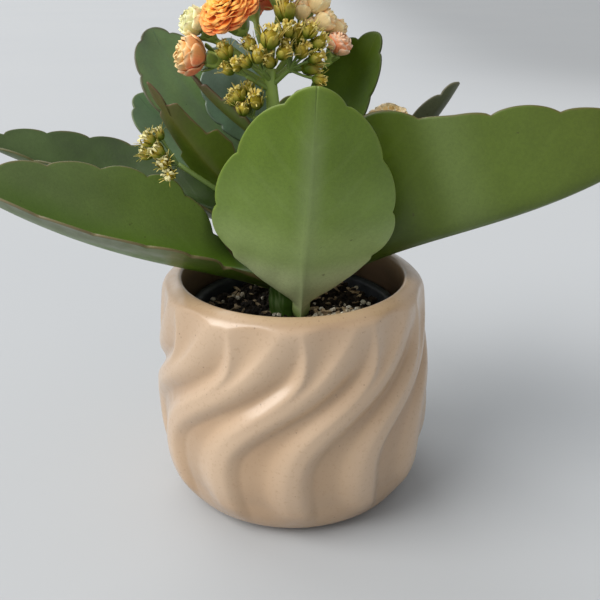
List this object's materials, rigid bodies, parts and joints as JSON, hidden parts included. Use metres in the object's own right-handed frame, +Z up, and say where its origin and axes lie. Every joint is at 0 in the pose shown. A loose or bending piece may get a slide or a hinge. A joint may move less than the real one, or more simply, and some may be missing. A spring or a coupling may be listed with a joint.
{
  "type": "potted flowering kalanchoe",
  "caption": "Flowering succulent with thick, round-toothed leaves, layered double blooms and bud sprays, standing in soil in a swirl-fluted ceramic pot for a table or windowsill.",
  "frame": {"origin": "centre of the ceramic pot's flat base, where it rests on a table or floor", "axes": "+Z up from the base through the pot's mouth; +Y towards the back; +X to the plant's right, seen from the front; the front leaf and the low edge of the view face -Y"},
  "size_m": [0.2393, 0.1457, 0.1949],
  "materials": {
    "pot_glaze": "satin tan glaze with fine speckles, slightly paler along the crests of the flutes",
    "nursery_plastic": "thin dark grey-blue moulded plastic, dusty near the rim",
    "potting_mix": null,
    "plant_stem": null,
    "leaf": null,
    "leaf_dark": null,
    "leaf_young": null,
    "petal_orange": null,
    "petal_pale": null,
    "bud": null
  },
  "bodies": {
    "root": {"ceramic_pot": "pot_glaze", "nursery_pot": "nursery_plastic", "potting_mix": "potting_mix", "flower_stem": "plant_stem", "leaf_front": "leaf", "leaf_right": "leaf", "leaf_left": "leaf", "leaf_left_back": "leaf_dark", "leaf_back": "leaf", "leaf_back_right": "leaf", "leaf_back_left": "leaf", "leaf_upper_left": "leaf_dark", "leaf_mid_left": "leaf_dark", "leaf_young_left": "leaf_young", "leaf_bud_left": "leaf_young", "leaf_centre": "leaf_dark", "leaf_upper_right": "leaf_dark", "leaf_mid_right": "leaf", "leaf_upper_back": "leaf", "bloom_front": "petal_orange", "bloom_top": "petal_orange", "bloom_back": "petal_orange", "bloom_right": "petal_orange", "bloom_side": "petal_pale", "bloom_half_left": "petal_pale", "bloom_half_pale": "petal_pale", "bloom_half_right": "petal_orange", "spray_left": "bud", "spray_front": "bud", "spray_right": "bud", "spray_peach": "petal_pale", "spray_low": "bud", "spray_side": "bud"}
  },
  "joints": []
}
